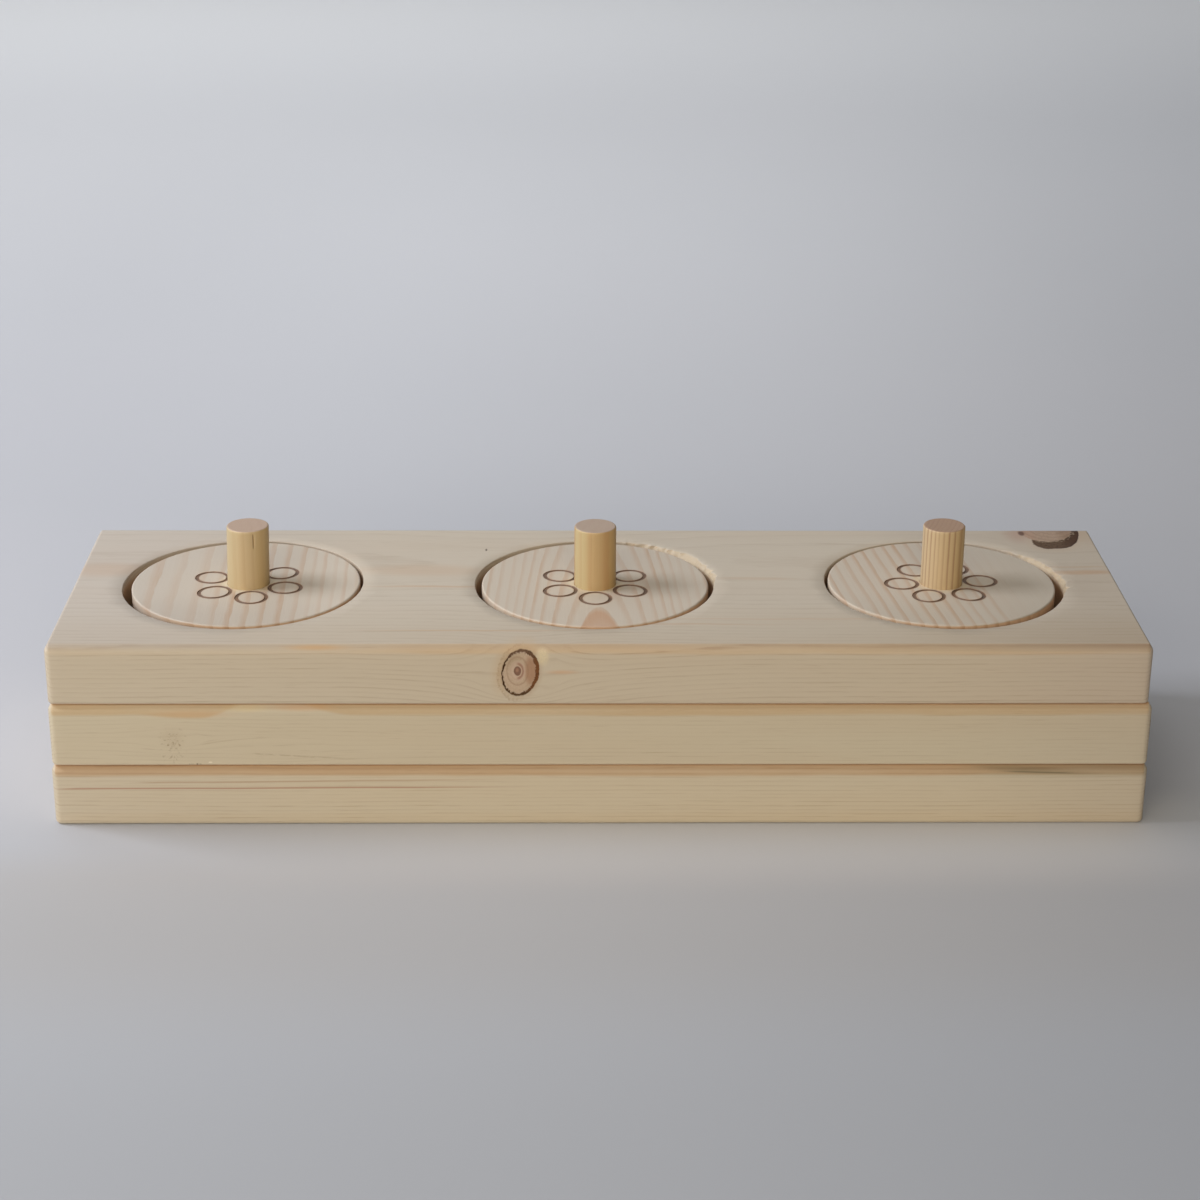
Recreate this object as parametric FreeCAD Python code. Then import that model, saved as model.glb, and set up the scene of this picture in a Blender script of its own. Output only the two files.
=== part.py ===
import FreeCAD, Part
import os

from FreeCAD import Vector

# Treat puzzle: three stacked pine boards with three lidded wells in a row.
# Millimetres. +X runs along the boards from the left end to the right end, +Y from the front
# to the back, +Z up. The origin is the middle of the underside.

# Boards
board_depth = 91.6
top_thickness = 17.4
lower_thickness = 18.4
base_thinning = 0.5       # the base board was planed a little thinner
top_length = 301.0
middle_extra = 1.4        # the lower boards were cut a little longer
base_extra = 2.0
top_shift = -0.5          # the top board lies a little to the left on the stack
edge_easing = 2.0         # rounding along the upper faces
under_easing = 1.0        # and along the undersides
corner_easing = 2.1       # rounding of the upright corners

# Row of holes
left_margin = 14.65       # wood between the outer holes and the ends of the top board
right_margin = 16.85
row_setback = 0.7         # the row lies behind the boards' middle line
lid_hole_diameter = 68.4
ledge_width = 5.4         # of the wells' rims under the lids
rim_easing = 0.2

# Lids
lid_clearance = 1.7       # radial gap between a lid and its hole
lid_proud = 0.4           # the lids stand a little above the top board
lid_easing = 0.5

# Where each lid lies in its hole, in shares of the clearance, and how far it is turned
left_lid_drift = (0.55, -0.45)
middle_lid_drift = (0.1, -0.7)
right_lid_drift = (-0.45, -0.25)
left_lid_turn = 10.0
middle_lid_turn = 0.0
right_lid_turn = -25.0

# Pegs
peg_diameter = 12.0
peg_standing = 17.6       # above the lid
peg_easing = 0.5
left_peg_drift = 0.6      # it stands to the right of its lid's middle

# Burnt flower around each peg
petal_count = 6
petal_gap = 1.0           # from the peg to the petals
petal_half_length = 4.5
petal_half_width = 4.2
line_width = 1.1
line_depth = 0.25

# Screws from the underside
screw_cover = 8.1         # wood left above the tips
screw_diameter = 4.0
screw_core_diameter = 2.8
screw_head_diameter = 8.0
screw_head_rim = 0.5
screw_recess = 0.6        # the heads sit this deep in the underside
screw_tip_length = 5.0
thread_pitch = 1.8
thread_share = 0.6        # of the screw's length
drive_width = 4.4
drive_slot = 1.0
drive_depth = 2.2
screw_hole_clearance = 0.05
screw_end_distance = 12.0     # of the corner screws, from the boards' ends
screw_side_distance = 12.0    # and from their long sides

lid_thickness = top_thickness + lid_proud
lid_radius = lid_hole_diameter / 2 - lid_clearance
well_radius = lid_radius - ledge_width
petal_middle_radius = peg_diameter / 2 + petal_gap + petal_half_length
base_thickness = lower_thickness - base_thinning
ledge_z = base_thickness + lower_thickness
hole_pitch = (top_length - left_margin - right_margin - lid_hole_diameter) / 2
row_x = top_shift + (left_margin - right_margin) / 2
row_y = row_setback
hole_centres = [(row_x + i * hole_pitch, row_y) for i in (-1, 0, 1)]

screw_length = ledge_z + top_thickness - screw_recess - screw_cover
screw_x = top_length / 2 - screw_end_distance
screw_y = board_depth / 2 - screw_side_distance
screw_places = [(x, y) for x in (-screw_x, screw_x) for y in (-screw_y, screw_y)]
screw_places += [(row_x + s * hole_pitch / 2, row_y) for s in (-1, 1)]


def cylinder(radius, height, x, y, z):
    return Part.makeCylinder(radius, height, Vector(x, y, z))


def turned(points, x=0.0, y=0.0):
    """Solid of revolution about the upright axis through x, y; points are (radius, height)."""
    outline = [Vector(r, 0, z) for r, z in points]
    face = Part.Face(Part.makePolygon(outline + outline[:1]))
    solid = face.revolve(Vector(0, 0, 0), Vector(0, 0, 1), 360)
    solid.translate(Vector(x, y, 0))
    return solid


def eased_board(length, thickness, x_middle, z_bottom):
    """Planed board with its upright corners and then the edges of its two faces rounded."""
    board = Part.makeBox(length, board_depth, thickness,
                         Vector(x_middle - length / 2, -board_depth / 2, z_bottom))
    upright = [e for e in board.Edges if e.BoundBox.ZLength > thickness / 2]
    board = board.makeFillet(corner_easing, upright)
    level = thickness / 100
    for easing, z in ((edge_easing, z_bottom + thickness), (under_easing, z_bottom)):
        rim = [e for e in board.Edges if e.BoundBox.ZLength < level and abs(e.BoundBox.ZMin - z) < level]
        board = board.makeFillet(easing, rim)
    return board


def eased_hole(radius, thickness, z_bottom, x, y):
    """Cutter for a round hole through one board, with both rims slightly broken."""
    z_top = z_bottom + thickness
    reach = 1.0
    return turned([(0, z_bottom - reach), (radius + rim_easing + reach, z_bottom - reach),
                   (radius, z_bottom + rim_easing), (radius, z_top - rim_easing),
                   (radius + rim_easing + reach, z_top + reach), (0, z_top + reach)], x, y)


def screw_seat(x, y):
    """Cutter for one screw: countersink, then a hole as wide as the screw."""
    hole = screw_diameter / 2 + screw_hole_clearance
    mouth = screw_head_diameter / 2 + screw_hole_clearance
    cone_base = screw_recess + screw_head_rim - screw_hole_clearance
    bottom = screw_recess + screw_length + screw_hole_clearance
    return turned([(0, -1), (mouth, -1), (mouth, cone_base), (hole, cone_base + mouth - hole),
                   (hole, bottom - screw_tip_length), (0, bottom)], x, y)


def screw(x, y):
    """Countersunk wood screw, head down, with a thread of ridges and a cross recess."""
    head = screw_head_diameter / 2
    shank = screw_diameter / 2
    core = screw_core_diameter / 2
    z = screw_recess
    tip = z + screw_length
    thread_start = tip - thread_share * screw_length
    thread_end = tip - screw_tip_length
    points = [(0, z), (head, z), (head, z + screw_head_rim), (shank, z + screw_head_rim + head - shank),
              (shank, thread_start), (core, thread_start + shank - core)]
    ridge = thread_start + thread_pitch
    while ridge + thread_pitch < thread_end:
        points += [(core, ridge), (shank, ridge + thread_pitch * 0.3), (core, ridge + thread_pitch * 0.6)]
        ridge += thread_pitch
    points += [(core, thread_end), (0, tip)]
    body = turned(points)
    for angle in (0, 90):
        slot = Part.makeBox(drive_width, drive_slot, drive_depth,
                            Vector(-drive_width / 2, -drive_slot / 2, z))
        slot.rotate(Vector(0, 0, 0), Vector(0, 0, 1), angle)
        body = body.cut(slot)
    body.translate(Vector(x, y, 0))
    return body


def oval_prism(half_x, half_y, height):
    """Upright prism on an oval, whichever of its two axes is the longer."""
    oval = Part.Ellipse(Vector(0, 0, 0), max(half_x, half_y), min(half_x, half_y)).toShape()
    if half_y > half_x:
        oval.rotate(Vector(0, 0, 0), Vector(0, 0, 1), 90)
    return Part.Face(Part.Wire([oval])).extrude(Vector(0, 0, height))


def petal_ring(x, y, angle, z_top):
    """Cutter for the burnt outline of one petal, a loop cut into the lid's face beside x, y."""
    half = line_width / 2
    outer, inner = (oval_prism(petal_half_length + grow, petal_half_width + grow, 2 * line_depth)
                    for grow in (half, -half))
    ring = outer.cut(inner)
    ring.translate(Vector(petal_middle_radius, 0, z_top - line_depth))
    ring.rotate(Vector(0, 0, 0), Vector(0, 0, 1), angle)
    ring.translate(Vector(x, y, 0))
    return ring


def lid_disc(x, y, peg_x, peg_y, turn):
    """Round lid with eased rims, a hole for its peg and the burnt flower around it."""
    disc = cylinder(lid_radius, lid_thickness, x, y, ledge_z)
    disc = disc.makeFillet(lid_easing, [e for e in disc.Edges if e.BoundBox.ZLength < lid_easing])
    disc = disc.cut(cylinder(peg_diameter / 2, lid_thickness, peg_x, peg_y, ledge_z))
    for i in range(petal_count):
        angle = 90 + turn + i * 360 / petal_count
        disc = disc.cut(petal_ring(peg_x, peg_y, angle, ledge_z + lid_thickness))
    return disc


def peg(x, y):
    """Dowel peg glued right through the lid, with eased ends."""
    length = lid_thickness + peg_standing
    dowel = cylinder(peg_diameter / 2, length, x, y, ledge_z)
    top_edge = [e for e in dowel.Edges if e.BoundBox.ZMin > ledge_z + length / 2]
    return dowel.makeFillet(peg_easing, top_edge)


base_board = eased_board(top_length + base_extra, base_thickness, 0, 0)
middle_board = eased_board(top_length + middle_extra, lower_thickness, 0, base_thickness)
top_board = eased_board(top_length, top_thickness, top_shift, ledge_z)
for x, y in hole_centres:
    middle_board = middle_board.cut(eased_hole(well_radius, lower_thickness, base_thickness, x, y))
    top_board = top_board.cut(eased_hole(lid_hole_diameter / 2, top_thickness, ledge_z, x, y))
for x, y in screw_places:
    seat = screw_seat(x, y)
    base_board = base_board.cut(seat)
    middle_board = middle_board.cut(seat)
    top_board = top_board.cut(seat)

parts = {
    "base_board": base_board,
    "middle_board": middle_board,
    "top_board": top_board,
    "board_screws": Part.makeCompound([screw(x, y) for x, y in screw_places]),
}

lids = (("left", hole_centres[0], left_lid_drift, left_lid_turn, left_peg_drift),
        ("middle", hole_centres[1], middle_lid_drift, middle_lid_turn, 0.0),
        ("right", hole_centres[2], right_lid_drift, right_lid_turn, 0.0))
for side, (x, y), (dx, dy), turn, peg_drift in lids:
    lid_x, lid_y = x + dx * lid_clearance, y + dy * lid_clearance
    parts["lid_disc_" + side] = lid_disc(lid_x, lid_y, lid_x + peg_drift, lid_y, turn)
    parts["peg_" + side] = peg(lid_x + peg_drift, lid_y)

os.makedirs("parts", exist_ok=True)
for node, shape in parts.items():
    shape.exportStep("parts/" + node + ".step")
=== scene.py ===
import bpy
import bisect
import math
from mathutils import Matrix, Vector, geometry, noise


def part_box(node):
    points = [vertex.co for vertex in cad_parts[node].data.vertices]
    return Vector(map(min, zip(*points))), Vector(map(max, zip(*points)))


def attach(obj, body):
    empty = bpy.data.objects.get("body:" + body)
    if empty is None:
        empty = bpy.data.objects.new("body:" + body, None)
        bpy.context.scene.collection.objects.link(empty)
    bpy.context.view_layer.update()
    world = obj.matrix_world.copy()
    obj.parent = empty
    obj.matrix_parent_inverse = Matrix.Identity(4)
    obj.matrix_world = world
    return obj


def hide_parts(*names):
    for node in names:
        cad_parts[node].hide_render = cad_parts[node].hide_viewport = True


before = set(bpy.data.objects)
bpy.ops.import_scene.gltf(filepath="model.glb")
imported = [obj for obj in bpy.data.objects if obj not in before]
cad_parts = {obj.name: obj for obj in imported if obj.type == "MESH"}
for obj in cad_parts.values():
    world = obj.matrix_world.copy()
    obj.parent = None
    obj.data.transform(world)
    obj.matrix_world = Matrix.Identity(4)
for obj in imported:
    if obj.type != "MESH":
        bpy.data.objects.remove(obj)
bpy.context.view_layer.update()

# Camera: where it stands (m), how far it looks down, to the side and leans (degrees), and its lens
CAMERA_AT = (-0.012915, -0.668079, 0.319235)
CAMERA_DOWN = 22.041
CAMERA_SIDE = -1.1115
CAMERA_LEAN = 0.4246
FOCAL_PIXELS = 2503.6
FRAME_PIXELS = 1200
SENSOR = 36.0


def box(node):
    """Lowest and highest corner of one of the part's solids, in mm."""
    return [[round(c * 1000, 2) for c in corner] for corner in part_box(node)]


def board(node):
    """Length, middle along x, bottom and top of a board."""
    (left, _, bottom), (right, _, top) = box(node)
    return right - left, (left + right) / 2, bottom, top


# Boards, in mm as everything below
BOARDS = {node: board(node) for node in ("base_board", "middle_board", "top_board")}
BOARD_DEPTH = 2 * box("top_board")[1][1]
LEDGE, TOP_FACE = BOARDS["top_board"][2:]
UNDER = 1.0               # rounding of the boards' lower edges
CORNER = 2.1              # and of their upright corners
EDGE = 2.2                # reach of the planed upper edges
BEVEL = [(2.7, 0.0), (2.2, 0.0), (1.75, 0.07), (1.3, 0.35),     # their inset and drop
         (0.82, 0.82), (0.35, 1.3), (0.07, 1.75), (0.0, EDGE)]
END_BEVEL = 0.6           # share of that inset on the boards' ends
SANDED = 0.05             # how deep the waves of hand sanding are, on average

# Row of holes, and the screws
ROW = (-1.6, 0.7)         # middle of the middle hole
HOLE_PITCH = 100.55
HOLE_RADIUS = 34.2
WELL_RADIUS = 27.1
RIM = 0.2                 # the holes' broken edge
HOLES = {side: (ROW[0] + i * HOLE_PITCH, ROW[1]) for i, side in ((-1, "left"), (0, "middle"), (1, "right"))}
SCREWS = [(x, y) for x in (-138.5, 138.5) for y in (-33.8, 33.8)]
SCREWS += [(ROW[0] + s * HOLE_PITCH / 2, ROW[1]) for s in (-1, 1)]
SCREW_HOLE = 2.05         # radius in the boards
SCREW_MOUTH = 4.05        # and under the heads
MOUTH_Z, SEAT_Z = 1.05, 3.05        # where the countersink starts to narrow, and ends
POINT_Z, TIP_Z = 40.65, 45.2        # where the hole starts to narrow to the tip, and ends

# Lids and pegs; each lid lies off its hole's middle and is turned
LID_RADIUS = 32.5
LID_TOP = box("lid_disc_left")[1][2]
LID_EDGE = 0.5
LID_DRIFT = {"left": (0.935, -0.765), "middle": (0.17, -1.19), "right": (-0.765, -0.425)}
LIDS = {side: (x + LID_DRIFT[side][0], y + LID_DRIFT[side][1]) for side, (x, y) in HOLES.items()}
LID_TURNS = {"left": 10.0, "middle": 0.0, "right": -25.0}
PEGS = {**LIDS, "left": (LIDS["left"][0] + 0.6, LIDS["left"][1])}
PEG_RADIUS = 6.0
PEG_TOP = box("peg_left")[1][2]
PEG_EDGE = 0.5

# Burnt flower round each peg
PETALS = 6
PETAL_AT = 11.5           # from the peg's axis to a petal's middle
PETAL_LONG, PETAL_WIDE = 4.5, 4.2
LINE = 1.1
LINE_DEPTH = 0.25
LINE_SLOPE = 0.16         # width of each of a line's sloping sides

# Fibres torn out round the top board's holes: middle and half width of the place in degrees, and mm
TORN = {"left": ((200, 20, 0.1),), "middle": ((36, 36, 1.9), (215, 25, 0.15)),
        "right": ((16, 30, 1.6), (215, 30, 0.2))}
TORN_MOST = 2.4           # furthest they are torn, and how far down
TORN_DEPTH = 1.7
CRACK_ANGLE = -66.0       # the left peg's crack, in degrees
PEG_LEAN = 0.028          # and its lean to the right, as a slope

# Places of the knots: along x, and up or along y
FRONT_KNOT = (-22.3, 46.0)
CORNER_KNOT = (137.0, 39.3)
PIN_KNOTS = (-117.5, 26.4)
GRAIN_DEPTH = 0.0001      # of the fibres' bump, in m
GRAIN_STRENGTH = 0.25

# Fineness of the meshes
AROUND_HOLE = 400         # points round a hole,
AROUND_SCREW = 32         # a screw's hole,
AROUND_LID = 360          # a lid,
AROUND_PEG = 180          # a peg,
AROUND_PEG_HOLE = 96      # a lid's hole for its peg
AROUND_PETAL = 72         # and a petal
ALONG_SIDE, ALONG_END = 120, 36     # steps along a board's long side and end
SHARP = 42                # degrees from which an edge is sharp
INSIDE_WITH_HOLES = 2     # kind of result asked from the triangulation
SAME_POINT = 1e-5         # and the distance within which it joins points


def wobble(x, y, z=0.0):
    """Smooth noise between -1 and 1."""
    return noise.noise(Vector((x, y, z)))


def add_object(name, data):
    made = bpy.data.objects.new(name, data)
    bpy.context.scene.collection.objects.link(made)
    return made


class Shell:
    """A mesh being made from closed loops, bands between them and flat faces, in mm."""

    def __init__(self):
        self.points = []
        self.faces = []

    def tube(self, loops):
        """Join loops of equally many points one after the other; give the first and last."""
        rows = []
        for loop in loops:
            start = len(self.points)
            self.points += loop
            rows.append(range(start, start + len(loop)))
        for low, high in zip(rows, rows[1:]):
            n = len(low)
            self.faces += [(low[i], low[(i + 1) % n], high[(i + 1) % n], high[i]) for i in range(n)]
        return rows[0], rows[-1]

    def flat(self, outer, holes, inside, spacing, guides=(), relief=None):
        """Fill between a loop and its holes, on a grid of points and along the guide loops."""
        flat_z = self.points[outer[0]][2]
        known = list(outer) + [i for hole in holes for i in hole]
        coords = [Vector(self.points[i][:2]) for i in known] + [Vector(p) for loop in guides for p in loop]
        edges, start = [], 0
        for loop in (outer, *holes, *guides):
            edges += [(start + i, start + (i + 1) % len(loop)) for i in range(len(loop))]
            start += len(loop)
        xs, ys = [p.x for p in coords], [p.y for p in coords]
        columns = int((max(xs) - min(xs)) / spacing)
        rows = int((max(ys) - min(ys)) / spacing)
        for i in range(columns):
            for j in range(rows):
                x = min(xs) + (i + 0.5 + 0.5 * (j % 2)) * spacing
                y = min(ys) + (j + 0.7) * spacing
                if inside(x, y):
                    coords.append(Vector((x, y)))
        made, _, faces, origins, _, _ = geometry.delaunay_2d_cdt(
            coords, edges, [], INSIDE_WITH_HOLES, SAME_POINT)
        index = []
        for point, origin in zip(made, origins):
            if origin and origin[0] < len(known):
                index.append(known[origin[0]])
            else:
                index.append(len(self.points))
                height = relief(point.x, point.y) if relief else 0.0
                self.points.append((point.x, point.y, flat_z + height))
        rims = [self.rim(hole) for hole in holes]
        for face in faces:
            middle = sum((made[i] for i in face), Vector((0, 0))) / len(face)
            if not any(rim(middle) for rim in rims):
                self.faces.append(tuple(index[i] for i in face))

    def rim(self, hole):
        """Test for lying inside a hole, whose points go once round its middle."""
        points = [Vector(self.points[i][:2]) for i in hole]
        centre = sum(points, Vector((0, 0))) / len(points)
        reaches = [(p - centre).length for p in points]
        angles = [math.atan2(p.y - centre.y, p.x - centre.x) for p in points]
        order = sorted(range(len(points)), key=lambda i: angles[i])
        angles = [angles[i] for i in order]
        reaches = [reaches[i] for i in order]

        def test(point):
            off = point - centre
            angle = math.atan2(off.y, off.x)
            k = bisect.bisect(angles, angle) % len(angles)
            gap = (angles[k] - angles[k - 1]) % (2 * math.pi)
            share = ((angle - angles[k - 1]) % (2 * math.pi)) / gap
            return off.length < reaches[k - 1] * (1 - share) + reaches[k] * share
        return test

    def piece(self, name, node, body, material):
        """Make the object, which stands for a node and rides on a body."""
        mesh = bpy.data.meshes.new(name)
        mesh.from_pydata([[c * 0.001 for c in p] for p in self.points], [], self.faces)
        mesh.validate()
        made = add_object(name, mesh)
        bpy.context.view_layer.objects.active = made
        made.select_set(True)
        bpy.ops.object.mode_set(mode="EDIT")
        bpy.ops.mesh.select_all(action="SELECT")
        bpy.ops.mesh.normals_make_consistent(inside=False)
        bpy.ops.object.mode_set(mode="OBJECT")
        made.select_set(False)
        mesh.shade_smooth()
        mesh.set_sharp_from_angle(angle=math.radians(SHARP))
        mesh.materials.append(material)
        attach(made, body)
        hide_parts(node)
        return made


def ring(x, y, radius, z, count, ragged=None):
    """Round loop of points; ragged gives how far each lies further out."""
    points = []
    for i in range(count):
        angle = 2 * math.pi * i / count
        r = radius + (ragged(angle) if ragged else 0.0)
        points.append((x + r * math.cos(angle), y + r * math.sin(angle), z))
    return points


def board_loop(length, x_middle, inset, z, seed, end_share):
    """Loop round a board, inset from its sides, with the slight waves of hand sanding."""
    half_x, half_y = length / 2 - CORNER, BOARD_DEPTH / 2 - CORNER
    radius = max(CORNER - inset, 0.12)
    shrink = inset - (CORNER - radius)
    points = []
    corners = ((half_x, half_y, 0), (-half_x, half_y, 90), (-half_x, -half_y, 180), (half_x, -half_y, 270))
    for n, (cx, cy, start) in enumerate(corners):
        cx, cy = cx - math.copysign(shrink, cx), cy - math.copysign(shrink, cy)
        arc = [(cx + radius * math.cos(math.radians(start + 15 * k)),
                cy + radius * math.sin(math.radians(start + 15 * k))) for k in range(7)]
        points += arc
        nx, ny, _ = corners[(n + 1) % 4]
        nx, ny = nx - math.copysign(shrink, nx), ny - math.copysign(shrink, ny)
        turn = math.radians(start + 90)
        goal = (nx + radius * math.cos(turn), ny + radius * math.sin(turn))
        steps = ALONG_SIDE if n % 2 == 0 else ALONG_END
        points += [(arc[-1][0] + (goal[0] - arc[-1][0]) * k / steps,
                    arc[-1][1] + (goal[1] - arc[-1][1]) * k / steps) for k in range(1, steps)]
    stretch = (length / 2 - end_share * inset) / (length / 2 - inset)
    loop = []
    for x, y in points:
        sanded = SANDED + SANDED * wobble(x * 0.03 + seed, y * 0.03, z * 0.12)
        on_end = abs(x) / (length / 2) > abs(y) / (BOARD_DEPTH / 2)
        loop.append((x_middle + x * stretch - (math.copysign(sanded, x) if on_end else 0.0),
                     y - (0.0 if on_end else math.copysign(sanded, y)), z))
    return loop


def eased(radius, step):
    """Quarter round in steps of some degrees: inset from the side and height, from the face on."""
    return [(radius * (1 - math.sin(math.radians(a))), radius * (1 - math.cos(math.radians(a))))
            for a in range(0, 91, step)]


def board_loops(node):
    """The loops round a board from its bottom face to its top face."""
    length, x_middle, bottom, top = BOARDS[node]
    rows = [(i, bottom + drop, 1.0) for i, drop in [(UNDER + 0.35, 0.0)] + eased(UNDER, 15)]
    side = top - bottom - UNDER - EDGE
    rows += [(0.0, bottom + UNDER + side * k / 6, 1.0) for k in range(1, 6)]
    rows += [(i, top - drop, END_BEVEL) for i, drop in reversed(BEVEL)]
    return [board_loop(length, x_middle, i, z, bottom * 1.7, share) for i, z, share in rows]


def torn(side, angle, depth):
    """How far the fibres of a top board's hole are torn out, at an angle and depth below its rim."""
    reach = 0.0
    for middle, width, strength in TORN[side]:
        off = (math.degrees(angle) - middle + 180) % 360 - 180
        reach = max(reach, strength * math.exp(-(off / width) ** 4))
    fine = wobble(27 * math.cos(angle), 27 * math.sin(angle), depth * 0.7 + len(side))
    coarse = wobble(6 * math.cos(angle), 6 * math.sin(angle), len(side) * 3.1)
    chip = max(0.0, 0.72 + 0.7 * fine + 0.9 * coarse) * reach
    return min(chip, TORN_MOST) * max(0.0, 1 - depth / TORN_DEPTH) + 0.05 * fine * max(0.0, 1 - depth / 5)


def hole_loops(node, side, x, y):
    """The loops down a hole's wall, from the board's bottom face to its top face."""
    _, _, bottom, top = BOARDS[node]
    radius = HOLE_RADIUS if node == "top_board" else WELL_RADIUS
    loops = []
    for depth in (top - bottom, top - bottom - RIM, 12, 8, 5, 3, 2, 1.4, 0.9, 0.5, RIM, 0.07, 0):
        rim = RIM if depth in (0, top - bottom) else RIM / 2 if depth == 0.07 else 0.0
        tear = None
        if node == "top_board":
            def tear(angle, depth=depth):
                return torn(side, angle, depth)
        loops.append(ring(x, y, radius + rim, top - depth, AROUND_HOLE, tear))
    return loops


def make_board(node, material):
    length, x_middle, bottom, top = BOARDS[node]
    shell = Shell()
    low, high = shell.tube(board_loops(node))
    low_holes, high_holes, rounds = [], [], {"low": [], "high": []}
    if node != "base_board":
        for side, (x, y) in HOLES.items():
            first, last = shell.tube(hole_loops(node, side, x, y))
            low_holes.append(first)
            high_holes.append(last)
            radius = HOLE_RADIUS if node == "top_board" else WELL_RADIUS
            rounds["low"].append((x, y, radius + 1.5))
            rounds["high"].append((x, y, radius + 3.4))
    for x, y in SCREWS:
        if node == "base_board":
            profile = [(SCREW_MOUTH, bottom), (SCREW_MOUTH, MOUTH_Z), (SCREW_HOLE, SEAT_Z), (SCREW_HOLE, top)]
        elif node == "middle_board":
            profile = [(SCREW_HOLE, bottom), (SCREW_HOLE, top)]
        else:
            profile = [(SCREW_HOLE, bottom), (SCREW_HOLE, POINT_Z), (0.2, TIP_Z)]
        first, last = shell.tube([ring(x, y, r, z, AROUND_SCREW) for r, z in profile])
        low_holes.append(first)
        rounds["low"].append((x, y, profile[0][0] + 0.8))
        if node == "top_board":
            shell.faces.append(tuple(last))
        else:
            high_holes.append(last)
            rounds["high"].append((x, y, 2.9))

    def inside(key):
        def test(x, y):
            margin = EDGE + 1.4
            return (abs(x - x_middle) < length / 2 - margin and abs(y) < BOARD_DEPTH / 2 - margin
                    and all((x - cx) ** 2 + (y - cy) ** 2 > r * r for cx, cy, r in rounds[key]))
        return test

    shell.flat(low, low_holes, inside("low"), 4.0)
    shell.flat(high, high_holes, inside("high"), 2.5)
    return shell.piece(node + "_wood", node, "block", material)


def petal_distance(x, y, side):
    """Distance from the middle of the nearest petal's line, for a point measured from the peg."""
    angle = math.degrees(math.atan2(y, x)) - 90 - LID_TURNS[side]
    angle = math.radians((angle + 180 / PETALS) % (360 / PETALS) - 180 / PETALS)
    r = math.hypot(x, y)
    along, across = r * math.cos(angle) - PETAL_AT, r * math.sin(angle)
    share = math.hypot(along / PETAL_LONG, across / PETAL_WIDE)
    slope = math.hypot(along / PETAL_LONG ** 2, across / PETAL_WIDE ** 2)
    return abs(share * (share - 1) / slope) if slope > 1e-6 else PETAL_WIDE


def petal_loops(x, y, side):
    """Loops along both sides of each petal's line, and along its middle."""
    loops = []
    for k in range(PETALS):
        turn = math.radians(90 + LID_TURNS[side] + 360 * k / PETALS)
        for grow in (-LINE / 2, -LINE / 2 + LINE_SLOPE, 0.0, LINE / 2 - LINE_SLOPE, LINE / 2):
            loop = []
            for i in range(AROUND_PETAL):
                t = 2 * math.pi * i / AROUND_PETAL
                along = PETAL_AT + (PETAL_LONG + grow) * math.cos(t)
                across = (PETAL_WIDE + grow) * math.sin(t)
                loop.append((x + along * math.cos(turn) - across * math.sin(turn),
                             y + along * math.sin(turn) + across * math.cos(turn)))
            loops.append(loop)
    return loops


def make_lid(side, material):
    cx, cy = LIDS[side]
    px, py = PEGS[side]
    shell = Shell()
    seed = cx * 0.1
    profile = [(PEG_RADIUS, LEDGE), (PEG_RADIUS, LEDGE + 9), (PEG_RADIUS, LID_TOP - 0.12),
               (PEG_RADIUS + 0.12, LID_TOP)]
    bottom_in, top_in = shell.tube([ring(px, py, r, z, AROUND_PEG_HOLE) for r, z in profile])
    height = LID_TOP - LEDGE
    edge = [(LID_EDGE + 0.3, 0.0)] + eased(LID_EDGE, 18)
    wall = [(0, LID_EDGE + (height - 2 * LID_EDGE) * k / 8) for k in range(1, 8)]
    rows = edge + wall + [(i, height - z) for i, z in reversed(edge)]

    def sawn(z):
        return lambda angle: -0.04 + 0.04 * wobble(9 * math.cos(angle) + seed, 9 * math.sin(angle), z * 0.2)

    bottom_out, top_out = shell.tube([ring(cx, cy, LID_RADIUS - inset, LEDGE + z, AROUND_LID, sawn(z))
                                      for inset, z in rows])

    def groove(x, y):
        far = petal_distance(x - px, y - py, side)
        share = min(1.0, max(0.0, (LINE / 2 - far) / LINE_SLOPE))
        return -LINE_DEPTH * (0.85 + 0.15 * wobble(x * 0.9, y * 0.9)) * share

    def inside(x, y):
        return (math.hypot(x - px, y - py) > PEG_RADIUS + 0.6
                and math.hypot(x - cx, y - cy) < LID_RADIUS - 1.6
                and petal_distance(x - px, y - py, side) > LINE / 2 + 0.25)

    shell.flat(bottom_out, [bottom_in], inside, 3.0)
    shell.flat(top_out, [top_in], inside, 1.4, petal_loops(px, py, side), groove)
    return shell.piece("lid_" + side + "_wood", "lid_disc_" + side, "lid_" + side, material)


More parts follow.
